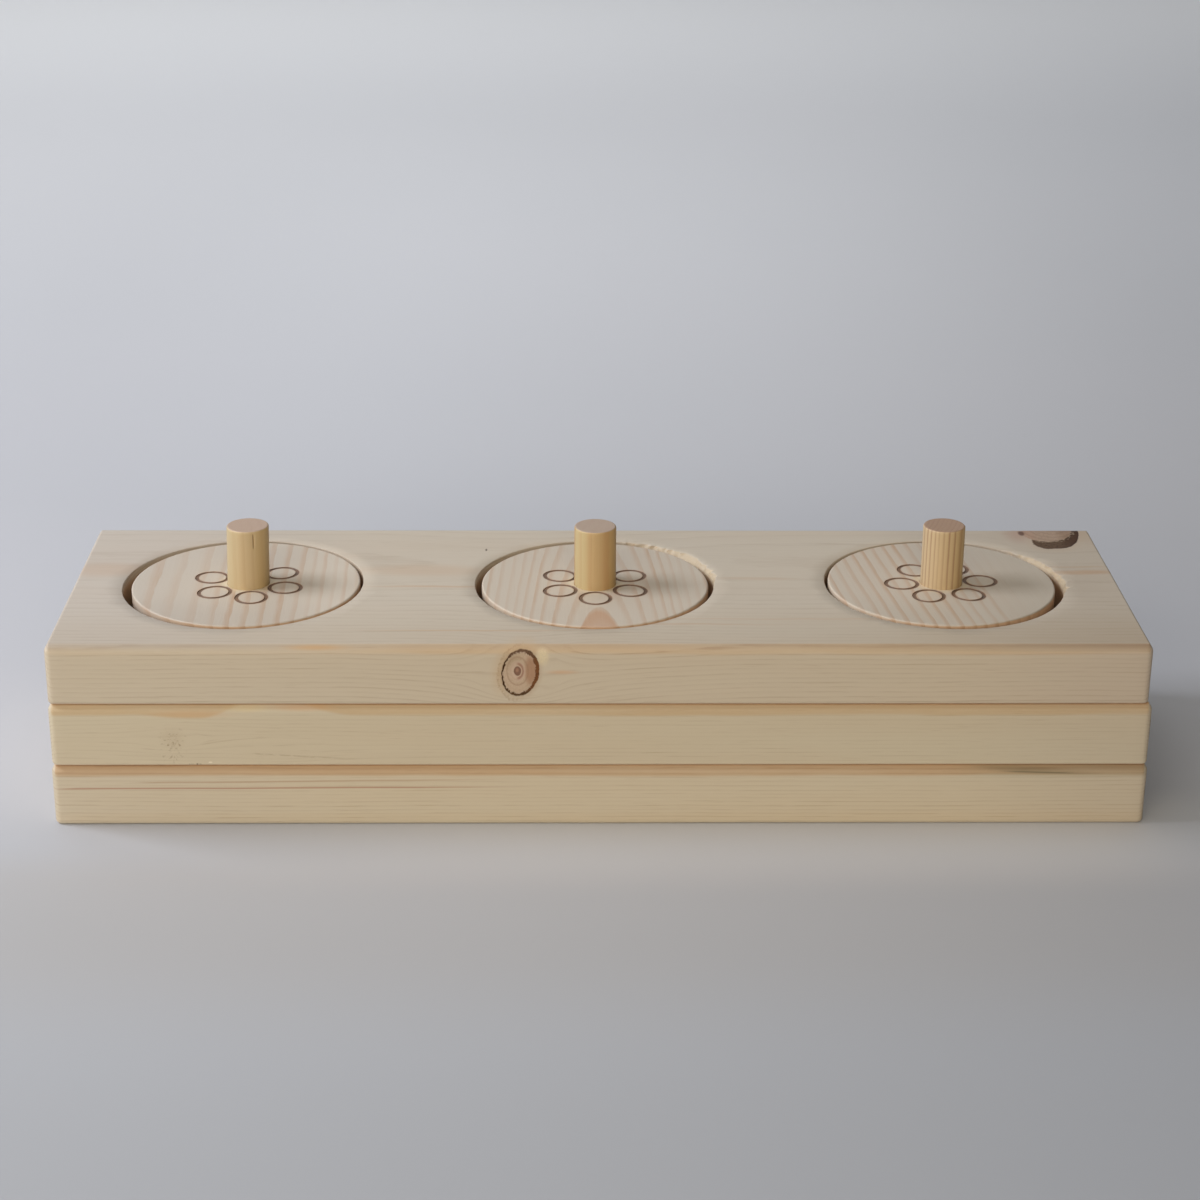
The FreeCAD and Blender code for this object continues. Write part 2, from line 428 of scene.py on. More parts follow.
def make_peg(side, material):
    cx, cy = PEGS[side]
    shell = Shell()
    seed = cx * 0.37

    def loop(radius, z):
        lean = PEG_LEAN * max(0.0, z - LID_TOP) if side == "left" else 0.0

        def depth(angle):
            cut = -0.03 + 0.03 * wobble(4 * math.cos(angle) + seed, 4 * math.sin(angle), z * 0.05)
            if side == "left" and z < PEG_TOP - 0.3:
                off = (math.degrees(angle) - CRACK_ANGLE + 180) % 360 - 180
                split = 0.3 * max(0.0, 1 - abs(z - PEG_TOP + 3) / 2.6)
                cut -= split * max(0.0, 1 - abs(off - 0.6 * wobble(z * 0.8, 0)) / 2.2)
            return cut
        return ring(cx + lean, cy, radius, z, AROUND_PEG, depth)

    steps = 44
    loops = [loop(PEG_RADIUS, LEDGE + (PEG_TOP - PEG_EDGE - LEDGE) * k / steps) for k in range(steps + 1)]
    for inset, drop in eased(PEG_EDGE, 18)[-2::-1]:
        loops.append(loop(PEG_RADIUS - inset, PEG_TOP - drop))
    loops.append(loop(PEG_RADIUS - 0.8, PEG_TOP))
    low, high = shell.tube(loops)

    def inside(x, y):
        return math.hypot(x - cx, y - cy) < PEG_RADIUS - 1.9

    shell.flat(low, [], inside, 1.5)
    shell.flat(high, [], inside, 0.8)
    return shell.piece("peg_" + side + "_wood", "peg_" + side, "lid_" + side, material)


def srgb(*values):
    """Linear colour from the 0 to 255 numbers of a picture."""
    linear = [v / 255 / 12.92 if v / 255 <= 0.04045 else ((v / 255 + 0.055) / 1.055) ** 2.4 for v in values]
    return (*linear, 1.0)


class Field:
    """A value that varies over a material, so that node trees can be written as formulas."""

    def __init__(self, tree, socket):
        self.tree = tree
        self.socket = socket

    def op(self, operation, *others):
        node = self.tree.nodes.new("ShaderNodeMath")
        node.operation = operation
        feed(self.tree, node, dict(enumerate((self, *others))))
        return Field(self.tree, node.outputs[0])

    def __add__(self, other):
        return self.op("ADD", other)

    def __sub__(self, other):
        return self.op("SUBTRACT", other)

    def __mul__(self, other):
        return self.op("MULTIPLY", other)

    def __truediv__(self, other):
        return self.op("DIVIDE", other)

    __radd__ = __add__
    __rmul__ = __mul__

    def __rsub__(self, other):
        return self * -1.0 + other

    def root(self):
        return self.op("SQRT")

    def size(self):
        return self.op("ABSOLUTE")

    def ramp(self, start, end):
        """0 at start, 1 at end, eased."""
        node = self.tree.nodes.new("ShaderNodeMapRange")
        node.interpolation_type = "SMOOTHSTEP"
        feed(self.tree, node, {"Value": self, "From Min": start, "From Max": end})
        return Field(self.tree, node.outputs["Result"])

    def random(self):
        """A fixed random number between 0 and 1 for each value."""
        node = self.tree.nodes.new("ShaderNodeTexWhiteNoise")
        node.noise_dimensions = "1D"
        feed(self.tree, node, {"W": self})
        return Field(self.tree, node.outputs["Value"])


def feed(tree, node, values):
    """Set or link a node's inputs, which are given by name or place."""
    for name, value in values.items():
        if isinstance(value, Field):
            tree.links.new(value.socket, node.inputs[name])
        else:
            node.inputs[name].default_value = value


def grain_noise(tree, x, y, z, detail=2.0, roughness=0.5):
    """Noise around 0, mostly between -1 and 1."""
    vector = tree.nodes.new("ShaderNodeCombineXYZ")
    feed(tree, vector, {0: x, 1: y, 2: z})
    node = tree.nodes.new("ShaderNodeTexNoise")
    feed(tree, node, {"Vector": Field(tree, vector.outputs[0]), "Scale": 1.0, "Detail": detail,
                      "Roughness": roughness})
    return (Field(tree, node.outputs["Fac"]) - 0.5) * 3.2


def blend(tree, factor, first, second, kind="MIX"):
    node = tree.nodes.new("ShaderNodeMix")
    node.data_type = "RGBA"
    node.blend_type = kind
    feed(tree, node, {0: factor, 6: first, 7: second})
    return Field(tree, node.outputs[2])


def layered(tree, colour, *layers):
    """A picture colour with others laid over it; each layer is its share and its colour."""
    colour = srgb(*colour)
    for share, over in layers:
        colour = blend(tree, share, colour, srgb(*over))
    return colour


def distance(*parts):
    total = parts[0] * parts[0]
    for part in parts[1:]:
        total = total + part * part
    return total.root()


def new_material(name):
    """A material, its node tree and shader, and its texture coordinates."""
    material = bpy.data.materials.new(name)
    material.use_nodes = True
    tree = material.node_tree
    return material, tree, tree.nodes["Principled BSDF"], tree.nodes.new("ShaderNodeTexCoord").outputs


def split(tree, socket, scale):
    """The three parts of a vector, times scale."""
    node = tree.nodes.new("ShaderNodeSeparateXYZ")
    tree.links.new(socket, node.inputs[0])
    return [Field(tree, out) * scale for out in node.outputs]


def add_bump(tree, shader, height, reach, strength):
    """Bump on a shader; reach is in metres."""
    bump = tree.nodes.new("ShaderNodeBump")
    feed(tree, bump, {"Distance": reach, "Strength": strength, "Height": height})
    tree.links.new(bump.outputs["Normal"], shader.inputs["Normal"])


class Wood:
    """A pine material in the making. along, across and over are mm along and across the fibres."""

    def __init__(self, name):
        self.material, self.tree, self.shader, place = new_material(name)
        self.x, self.y, self.z = split(self.tree, place["Object"], 1000.0)
        self.nx, self.ny, self.nz = split(self.tree, place["Normal"], 1.0)

    def noise(self, along, across, over, *scales, **more):
        return grain_noise(self.tree, along * scales[0], across * scales[1], over * scales[2], **more)

    def clouds(self, *scales, **more):
        """Noise over the part's own coordinates."""
        return self.noise(self.x, self.y, self.z, *scales, **more)

    def paint(self, factor, colour, kind="MIX"):
        self.colour = blend(self.tree, factor, self.colour, srgb(*colour), kind)

    def shade(self, factor, colour):
        self.paint(factor, colour, "MULTIPLY")

    def cover(self, factor, *layers):
        """Lay a layered colour over the wood."""
        self.colour = blend(self.tree, factor, self.colour, layered(self.tree, *layers))

    def spots(self, u, v, where, rows):
        """Paint soft ovals; each row has middle, size, softness, amount and colour."""
        for middle, size, soft, amount, colour in rows:
            self.paint(self.spot(u, v, middle, size, soft) * where * amount, colour)

    def grow(self, along, across, over, turns, tones, strength, wander=(0.5, 0.12), width=0.2,
             broken=0.6, fibre=1.0, seed=0.0):
        """Lay the year rings, numbered by turns, and the fibres along them.

        tones are pale, dark and warm; wander is how far the rings stray, slowly and quickly;
        width is the dark share of a ring and broken how much of it has gaps.
        """
        tree = self.tree
        along = along + seed * 37.0

        def cloud(long, wide, **more):
            """Noise drawn out along the fibres; the scales are per mm."""
            return self.noise(along, across, over, long, wide, wide, **more)

        slow = cloud(0.007, 0.018)
        quick = cloud(0.05, 0.11)
        ripple = cloud(0.22, 0.35)
        turns = turns + slow * wander[0] + quick * wander[1] + ripple * 0.035
        turns = turns + grain_noise(tree, turns * 0.3, seed, 0.0, detail=1.0) * 0.3
        share = turns.op("FRACT")
        own = (turns.op("FLOOR") + seed).random() * 0.7 + 0.3
        gaps = cloud(0.09, 1.3, detail=1.0).ramp(-0.35, 0.45)
        late = share.ramp(0.97 - 2.4 * width, 0.97 - 0.6 * width) * share.ramp(1.0, 0.97)
        faint = cloud(0.012, 0.09).ramp(-0.9, 0.5) * 0.6 + 0.4
        self.late = late * own * faint * (gaps * broken + (1.0 - broken))
        self.rings = late * (own * 0.6 + 0.4)
        streaks = cloud(0.03, 1.7, detail=3.0, roughness=0.62)
        threads = cloud(0.11, 5.5)
        broad = cloud(0.006, 0.055)
        pale, dark, warm = (srgb(*t) for t in tones)
        self.colour = blend(tree, broad.ramp(-0.7, 0.9) * 0.5, pale, warm)
        self.colour = blend(tree, share.ramp(0.3, 0.9) * 0.12 * strength, self.colour, dark)
        self.colour = blend(tree, self.late * strength, self.colour, dark)
        self.colour = blend(tree, streaks.ramp(0.1, 1.1) * 0.1 * fibre, self.colour, dark)
        self.paint(streaks.ramp(-0.1, -1.1) * 0.1 * fibre, (226, 208, 178))
        dashes = cloud(0.13, 3.0, detail=1.0).ramp(0.35, 1.1)
        self.paint(dashes * 0.2 * fibre, (156, 128, 98))
        self.relief = self.late * 0.35 + streaks * 0.3 + threads * 0.2
        self.streaks = streaks
        self.gloss = 0.5

    def end_grain(self, share):
        """Darken the faces that cut across the fibres; share is how squarely they do."""
        squarely = share.size().ramp(0.55, 0.95)
        self.paint(squarely * 0.25, (178, 158, 132))
        self.paint(squarely * self.rings * 0.4, (150, 114, 80))

    def finish(self, low=0.52, high=0.68):
        """Put it all on the shader, with roughness between low and high."""
        add_bump(self.tree, self.shader, self.relief, GRAIN_DEPTH, GRAIN_STRENGTH)
        roughness = self.streaks.ramp(-1.2, 1.2) * (high - low) + low
        feed(self.tree, self.shader, {"Base Color": self.colour, "Roughness": roughness,
                                      "Specular IOR Level": self.gloss})
        return self.material

    def spot(self, u, v, middle, size, soft=0.35):
        """1 inside an oval on two coordinates, 0 outside, with a soft edge."""
        far = distance((u - middle[0]) / size[0], (v - middle[1]) / size[1])
        return far.ramp(1.0 + soft, 1.0 - soft)

    def front(self):
        """1 on the front face and its eased edges."""
        return self.y.ramp(EDGE - BOARD_DEPTH / 2, EDGE - 0.3 - BOARD_DEPTH / 2)

    def long_edges(self, node, depth, tint, share, bevel_unshaded_share, soft=0.7):
        """Tint a board's long sides from the upper edge down, and paint a reddish shade on them at the seams.

        One argument gives the share of the planed edge's colour that is kept; the rest is painted shade, as
        that edge catches the light.
        """
        length, x_middle, bottom, top = BOARDS[node]
        reach = self.y * -1.0 if node == "top_board" else self.y.size()
        sides = reach.ramp(BOARD_DEPTH / 2 - EDGE, BOARD_DEPTH / 2 - EDGE + 0.4)
        sides = sides * (self.x - x_middle).size().ramp(length / 2 - 0.7, length / 2 - 1.5)
        waver = self.clouds(0.03, 0.05, 0.05) * 0.5
        low = (self.z + depth + waver).ramp(top - soft, top + soft)
        patchy = self.clouds(0.02, 0.05, 0.3).ramp(-1.2, 0.6) * 0.45 + 0.65
        self.shade(sides * low * patchy * share, tint)
        # painted shade on the planed upper edge
        bevel = sides * self.nz.ramp(0.2, 0.6) * self.nz.ramp(0.99, 0.85)
        self.shade(bevel * (1.0 - bevel_unshaded_share), (0, 0, 0))
        # painted reddish shade in the seam under the board above
        if node != "top_board":
            self.shade(sides * self.z.ramp(top - 0.7, top - 0.1) * 0.6, (246, 206, 176))
        # painted reddish shade in the seam over the board below
        if node != "base_board":
            lower = self.y.size().ramp(BOARD_DEPTH / 2 - EDGE, BOARD_DEPTH / 2 - EDGE + 0.4)
            self.shade(lower * self.z.ramp(bottom + 0.7, bottom + 0.1) * 0.8, (238, 196, 166))


def pushed(u, v, reach, squeeze=1.0):
    """How far grain beside a knot at 0, 0 is pushed aside along v."""
    far = (u * u * squeeze + v * v).op("MAXIMUM", reach * reach)
    return v * reach * reach / far * -1.0


def hole_walls(wood, node, radius, colour, share):
    """Tint the sawn walls of a board's holes, most of all a little below the rim."""
    top = BOARDS[node][3]
    below = wood.z.ramp(top - 1.0, top - 3.0) * (wood.z.ramp(top - 12.0, top - 5.0) * 0.5 + 0.5)
    for x, y in HOLES.values():
        near = distance(wood.x - x, wood.y - y).ramp(radius + 0.6, radius + 0.1)
        wood.paint(near * below * share, colour)


def top_board_material():
    wood = Wood("pine_top_board")
    x, y, z = wood.x, wood.y, wood.z
    # a knot on the front face and one in the back corner, whose branch runs down the back
    kx, kz = x - FRONT_KNOT[0], z - FRONT_KNOT[1] + (y + BOARD_DEPTH / 2) * 0.4
    cx, cy = x - CORNER_KNOT[0], y - CORNER_KNOT[1] + (TOP_FACE - z) * 0.2
    rise = x.ramp(-22.0, 48.0) * -2.2 + x.ramp(-75.0, -28.0) * 1.2
    across = y + pushed(cx, cy * 0.8, 9.0, 0.3) * 1.1
    over = z + rise + pushed(kx, kz * 0.75, 5.6, 0.22) * 0.9
    turns = distance(across - 17.7, over + 45.5) / 1.1
    upper = z.ramp(TOP_FACE - 1.5, TOP_FACE - 0.1)
    wood.grow(x, across, over, turns, ((203, 189, 166), (160, 132, 102), (202, 184, 159)),
              0.46 - upper * (y.ramp(-25, 10) * 0.12 + 0.1), width=0.13, broken=0.9, seed=1.0)
    # broad orange bands and pinkish streaks on the upper face
    for middle, size, amount in (((-143.0, 11.0), (11, 5.0), 0.3), ((-51.0, 11.0), (16, 4.2), 0.28),
                                 ((-48.2, -1.9), (17, 0.7), 0.4), ((45.8, 5.1), (10, 1.0), 0.25),
                                 ((141.8, 12.7), (9, 1.8), 0.5), ((139.8, 17.7), (9, 0.8), 0.25),
                                 ((14.8, -29.3), (30, 0.5), 0.35), ((-35.2, -34.3), (28, 0.5), 0.4),
                                 ((59.8, -25.3), (40, 0.45), 0.3), ((119.8, 44.2), (9, 1.4), 0.4)):
        bend = wood.clouds(0.03, 0.03, 0.0) * 0.9
        wood.paint(wood.spot(x, across + bend, middle, size, 0.6) * upper * amount, (196, 154, 112))
    # painted light on the upper face: a cooler, greyer tone for its sheen, painted shade toward the front and
    # the right end, and a cooler tone toward the left end
    wood.shade(upper, (247, 249, 255))
    wood.shade(upper * y.ramp(-8, -44) * (x.ramp(20, 140) * 0.3 + 0.5), (240, 234, 224))
    wood.shade(upper * x.ramp(70, 150), (241, 239, 238))
    wood.shade(upper * x.ramp(-60, -140), (248, 249, 255))
    # the planed edge gets painted shade, most toward the right end and a little toward the left
    wood.long_edges("top_board", 2.2, (253, 230, 200), x.ramp(-85, -40) * 0.4 + 0.2,
                    0.9 - x.ramp(-50, -90) * 0.05 - x.ramp(40, 130) * 0.1)
    front = wood.front()
    # painted shade toward the right end of the front
    wood.shade(front * x.ramp(90, 150), (247, 245, 248))
    wood.spots(x, z, front, (((-77.6, 53.0), (6.5, 0.5), 0.9, 0.5, (198, 150, 90)),
                             ((-11.0, 46.1), (3.2, 0.5), 0.9, 0.45, (208, 156, 112))))
    # tiny tick in the upper face
    wood.spots(x, y, upper, (((-33.3, 27.3), (0.3, 0.9), 0.4, 0.8, (70, 52, 38)),))
    front_knot(wood, kx, kz)
    corner_knot(wood, cx, cy)
    wood.end_grain(wood.nx)
    hole_walls(wood, "top_board", HOLE_RADIUS, (178, 134, 94), 0.7)
    # cream wood where the fibres were torn out, with painted shade on it toward the back left of each hole
    for hx, hy in HOLES.values():
        off = distance(x - hx, y - hy)
        near = off.ramp(HOLE_RADIUS + 0.12, HOLE_RADIUS + 0.35)
        near = near * off.ramp(HOLE_RADIUS + 4.5, HOLE_RADIUS + 4.0) * z.ramp(TOP_FACE - 0.02, TOP_FACE - 0.3)
        rough = wood.clouds(0.9, 0.9, 0.9)
        wood.paint(near * (rough.ramp(-0.9, 0.6) * 0.3 + 0.3), (196, 174, 138))
        shaded = (y - hy - x + hx).ramp(-12, 14) * 0.7
        wood.paint(near * rough.ramp(0.2, 0.9) * shaded, (176, 130, 92))
    return wood.finish()


def sink_bark(wood, outer, inner):
    """Sink the bark between a knot's outer and inner outline, and make it dull."""
    edge = outer.ramp(1.03, 0.98) * inner.ramp(0.97, 1.03)
    wood.relief = wood.relief - edge * 3.0
    wood.gloss = edge * -0.4 + wood.gloss


def front_knot(wood, x, z):
    """The knot on the front face; x and z from its middle."""
    tree = wood.tree
    ragged = grain_noise(tree, x * 0.9, z * 0.8, 3.0, detail=4.0, roughness=0.65)
    fine = grain_noise(tree, x * 2.4, z * 1.2, 5.0, detail=3.0)
    flecks = grain_noise(tree, x * 1.7, z * 1.4, 9.0, detail=4.0, roughness=0.7)
    u = x - z * 0.09
    right, high = u / 5.1, z / 6.9
    outer = distance(right, high) + ragged * 0.045 + fine * 0.015
    inner = distance((u + 0.25) / 4.45, (z + 0.05) / 6.15) + ragged * 0.08 + fine * 0.06
    # stained wood around it, a highlight beside it and a faint line round its left
    wood.paint(outer.ramp(1.75, 1.0) * (high - right + ragged * 0.4).ramp(-0.6, 1.0) * 0.5, (196, 164, 124))
    wood.paint(outer.ramp(1.3, 1.0) * (ragged.ramp(-0.6, 0.8) * 0.3 + 0.2), (170, 138, 102))
    highlight = wood.spot(x, z, (6.0, 4.7), (1.6, 2.2), 0.6)
    wood.paint(highlight * (flecks.ramp(-0.9, 0.5) * 0.5 + 0.3), (226, 208, 168))
    halo = (outer - 1.2 + ragged * 0.05).size().ramp(0.08, 0.02) * right.ramp(0.5, -0.5)
    wood.paint(halo * flecks.ramp(-0.5, 0.4) * 0.4, (150, 116, 82))
    # bark: nearly black on the left, greyish on top and brown on the right
    wood.cover(outer.ramp(1.03, 0.98), (66, 42, 20),
               (right.ramp(-0.3, 0.5), (120, 78, 48)),
               (high.ramp(0.4, 0.85), (106, 80, 60)),
               (high.ramp(-0.5, -0.95), (92, 68, 45)),
               (flecks.ramp(-0.1, 0.7) * 0.75, (54, 34, 18)))
    # the branch: beige with olive streaks, brown on its right, with rings and a crescent round the pith
    core = distance((x + 0.77) / 0.95, (z - 0.46) / 1.35) + ragged * 0.1
    rings = (core * 0.9 + fine * 0.08 + 0.1).op("FRACT").ramp(0.5, 0.85) * core.ramp(5.0, 2.5)
    crescent = core.ramp(1.95, 1.7) * core.ramp(1.2, 1.4) * (x + 0.77).ramp(-0.6, 0.5)
    wood.cover(inner.ramp(1.03, 0.95), (195, 170, 144),
               (fine.ramp(-0.4, 1.1) * 0.5, (170, 146, 116)),
               (flecks.ramp(0.0, 0.9) * 0.45, (150, 122, 92)),
               (wood.spot(x, z, (-2.0, 3.6), (2.4, 2.6), 0.8) * 0.45, (158, 138, 104)),
               (wood.spot(x, z, (2.9, 0.6), (1.7, 4.2), 0.45) * 0.8, (164, 122, 90)),
               (rings * 0.45, (150, 116, 88)),
               (core.ramp(2.6, 1.9) * 0.6, (203, 176, 154)),
               (crescent * 0.85, (156, 114, 90)),
               (core.ramp(1.2, 0.9) * 0.9, (118, 78, 56)),
               (wood.spot(x, z, (-0.85, 0.75), (0.4, 0.6), 0.5) * 0.8, (166, 124, 98)))
    wood.relief = wood.relief - core.ramp(1.1, 0.7) * 1.5
    sink_bark(wood, outer, inner)


def corner_knot(wood, x, y):
    """The knot in the back corner of the upper face; x and y from its middle."""
    tree = wood.tree
    ragged = grain_noise(tree, x * 0.5, y * 0.5, 7.0, detail=4.0, roughness=0.65)
    fine = grain_noise(tree, x * 1.5, y * 0.6, 4.0, detail=3.0)
    flecks = grain_noise(tree, x * 1.3, y * 0.9, 11.0, detail=4.0, roughness=0.7)
    # the bark is boxy and thick towards the front, the branch reaches further left
    boxy = 2.6
    outer_x, outer_y = (x - 1.5 - y * 0.22) / 7.0, (y + 0.2) / 10.6
    outer = (outer_x.size().op("POWER", boxy) + outer_y.size().op("POWER", boxy)).op("POWER", 1 / boxy)
    outer = outer + ragged * 0.05 + flecks * 0.025
    inner = distance((x + 1.0 - y * 0.12) / 7.7, (y - 3.6) / 8.4) + ragged * 0.08 + flecks * 0.06
    near = outer.op("MINIMUM", inner)
    wood.paint(near.ramp(1.45, 1.0) * 0.35, (182, 158, 132))
    wood.spots(x, y, 1.0, (((11.2, 2.0), (2.4, 8.0), 0.8, 0.35, (176, 150, 122)),
                           ((-10.2, 1.0), (3.0, 6.0), 0.8, 0.5, (170, 135, 118))))
    wood.cover(outer.ramp(1.03, 0.98), (102, 82, 62),
               (x.ramp(1.0, 6.0), (84, 62, 46)),
               (flecks.ramp(-0.2, 0.7) * 0.7, (62, 45, 33)),
               (outer.ramp(0.9, 1.0) * x.ramp(-1.0, 4.0) * 0.6, (48, 32, 24)),
               (inner.ramp(1.12, 1.02) * x.ramp(4.0, 0.0) * 0.6, (142, 122, 100)))
    core = distance((x - 1.0) / 7.0, (y - 6.5) / 8.0)
    rings = (core * 3.0 + fine * 0.1).op("FRACT").ramp(0.5, 0.9)
    wood.cover(inner.ramp(1.02, 0.95), (176, 152, 126),
               (fine.ramp(-0.4, 1.0) * 0.7, (154, 132, 108)),
               (flecks.ramp(0.1, 0.9) * 0.4, (128, 104, 82)),
               (x.ramp(-3.0, -7.0) * 0.6, (180, 146, 120)),
               (x.ramp(1.0, 5.0) * (ragged.ramp(-0.8, 0.5) * 0.5 + 0.4), (142, 114, 86)),
               (rings * 0.25, (122, 98, 76)))
    wood.spots(x, y, 1.0, (((-8.5, 2.2), (0.9, 1.9), 0.4, 0.85, (88, 52, 36)),))
    wood.shade(near.ramp(1.05, 0.98), (246, 242, 246))
    # pale chips between bark and branch
    chips = inner.ramp(0.9, 1.0) * inner.ramp(1.16, 1.04) * flecks.ramp(0.0, -0.5) * outer.ramp(1.0, 0.9)
    wood.paint(chips * 0.6, (206, 188, 160))
    sink_bark(wood, outer, inner)


def middle_board_material():
    wood = Wood("pine_middle_board")
    x, y, z = wood.x, wood.y, wood.z
    px, pz = x - PIN_KNOTS[0], z - PIN_KNOTS[1]
    over = z + pushed(px, pz, 2.6, 0.1) * 0.6 + pushed(x + 89, z - 23.4, 3.0, 0.05) * 0.5
    turns = distance(y - 6.0, over - 92.0) / 0.95
    wood.grow(x, y, over, turns, ((205, 192, 166), (168, 144, 112), (201, 183, 155)), 0.3,
              width=0.13, broken=0.95, seed=2.0)
    front = wood.front()
    # resin-coloured edge, which dips into scallops
    deep = 3.0 + wood.spot(x, z * 0.0, (-112.5, 0.0), (8.5, 1.0), 0.6) * 0.6
    deep = deep - x.ramp(-110, -94) * x.ramp(-68, -87) * 3.6
    wood.long_edges("middle_board", deep, (249, 234, 215), 1.0, 1.0, 0.6)
    wood.spots(x, z, front, (((-112, 33.6), (9, 0.9), 0.8, 0.22, (214, 160, 110)),
                             ((-82, 35.3), (7, 0.7), 0.8, 0.35, (214, 158, 102)),
                             ((-97, 35.2), (5, 0.8), 0.8, 0.4, (222, 196, 142))))
    # painted shade toward the right end of the front
    wood.shade(front * x.ramp(90, 150), (248, 247, 249))
    # pin knots: short dark ticks pointing at their middles
    for cz, amount in ((PIN_KNOTS[1], 0.6), (22.0, 0.4)):
        off = distance(px, z - cz)
        angle = (z - cz).op("ARCTAN2", px)
        ticks = grain_noise(wood.tree, angle * 3.6, off * 0.5, cz, detail=2.0).ramp(0.1, 0.4)
        ticks = ticks * off.ramp(4.2, 2.6) * off.ramp(0.3, 0.9)
        ticks = ticks * wood.noise(px, pz, pz, 0.9, 0.9, 0.9).ramp(-0.4, 0.3)
        wood.paint(ticks * front * amount, (142, 118, 90))
    wood.paint(distance(px, pz).ramp(4.5, 1.0) * front * 0.12, (160, 134, 100))
    # a broken line that sinks to the right, and small marks by the seam below
    sink = (z - 21.7 + (x + 95) * 0.06).size().ramp(0.3, 0.1) * x.ramp(-97, -94) * x.ramp(-64, -80)
    wood.paint(sink * front * wood.clouds(0.5, 0.0, 1.0).ramp(-0.7, 0.2) * 0.35, (150, 126, 96))
    dots = wood.clouds(1.4, 0.0, 0.0).ramp(-0.1, 0.3)
    wood.spots(x, z, front * dots, (((-111.4, 18.5), (1.9, 0.35), 0.4, 0.8, (96, 74, 54)),))
    wood.spots(x, z, front, (((-107.5, 19.1), (0.5, 0.25), 0.4, 0.7, (240, 228, 206)),))
    # painted light along the lower edge of the front, just above the seam
    wood.paint(z.ramp(20.2, 18.9) * front * 0.2, (222, 206, 176))
    wood.end_grain(wood.nx)
    hole_walls(wood, "middle_board", WELL_RADIUS, (150, 112, 78), 0.6)
    return wood.finish()


def base_board_material():
    wood = Wood("pine_base_board")
    x, y, z = wood.x, wood.y, wood.z
    turns = distance(y + 10.0, z + 70.0) / 1.12
    wood.grow(x, y, z, turns, ((208, 195, 170), (168, 140, 108), (207, 189, 159)), 0.42,
              width=0.13, broken=0.85, seed=3.0)
    front = wood.front()
    wave = wood.clouds(0.012, 0.0, 0.0) * 0.3
    for level, slope, start, amount, colour in ((11.2, 0.004, -150, 0.6, (168, 112, 88)),
                                                (13.1, 0.010, -128, 0.4, (170, 128, 98))):
        line = (z - level + wave - (x + 100) * slope).size().ramp(0.34, 0.14)
        fade = x.ramp(-15, -60) * x.ramp(start - 3, start + 6)
        wood.paint(line * fade * front * amount, colour)
    wood.paint(z.ramp(4.6, 2.6) * z.ramp(0.4, 1.2) * front * 0.08, (208, 172, 118))
    # the planed edge gets painted shade toward the right end
    wood.long_edges("base_board", 2.9, (238, 216, 195), 1.0, 1.0 - x.ramp(90, 140) * 0.1)
    # painted shade toward the right end of the front, and a slightly cooler, dimmer tone of painted light
    # toward the left end
    wood.shade(front * x.ramp(90, 150), (245, 244, 246))
    wood.shade(front * x.ramp(-60, -140), (252, 252, 254))
    wood.shade(front * z.ramp(13.6, 15.6) * x.ramp(92, 116), (238, 240, 236))
    # a streaky olive stain at the right
    streaky = wood.clouds(0.1, 0.0, 2.6, detail=3.0).ramp(-0.7, 0.5)
    stain = wood.spot(x, z + x * 0.05, (119, 22.3), (13, 0.7), 0.7) * (streaky * 0.6 + 0.4)
    wood.paint(stain * front * 0.42, (116, 108, 78))
    streak = (z - 15.8 + (x - 121) * 0.03).size().ramp(0.34, 0.1) * x.ramp(109, 116) * x.ramp(133, 127)
    wood.paint(streak * front * 0.55, (98, 92, 66))
    wood.end_grain(wood.nx)
    return wood.finish()


def petal_field(wood, side):
    """Distance from the middle of the nearest petal's line, over a lid's upper face."""
    px, py = PEGS[side]
    u, v = wood.x - px, wood.y - py
    angle = v.op("ARCTAN2", u) - math.radians(90 + LID_TURNS[side] - 180 / PETALS)
    wedge = 2 * math.pi / PETALS
    angle = (angle / wedge + PETALS).op("FRACT") * wedge - wedge / 2
    r = distance(u, v)
    along, across = r * angle.op("COSINE") - PETAL_AT, r * angle.op("SINE")
    share = distance(along / PETAL_LONG, across / PETAL_WIDE)
    slope = distance(along / PETAL_LONG ** 2, across / PETAL_WIDE ** 2)
    return (share * (share - 1.0) / (slope + 1e-4)).size()


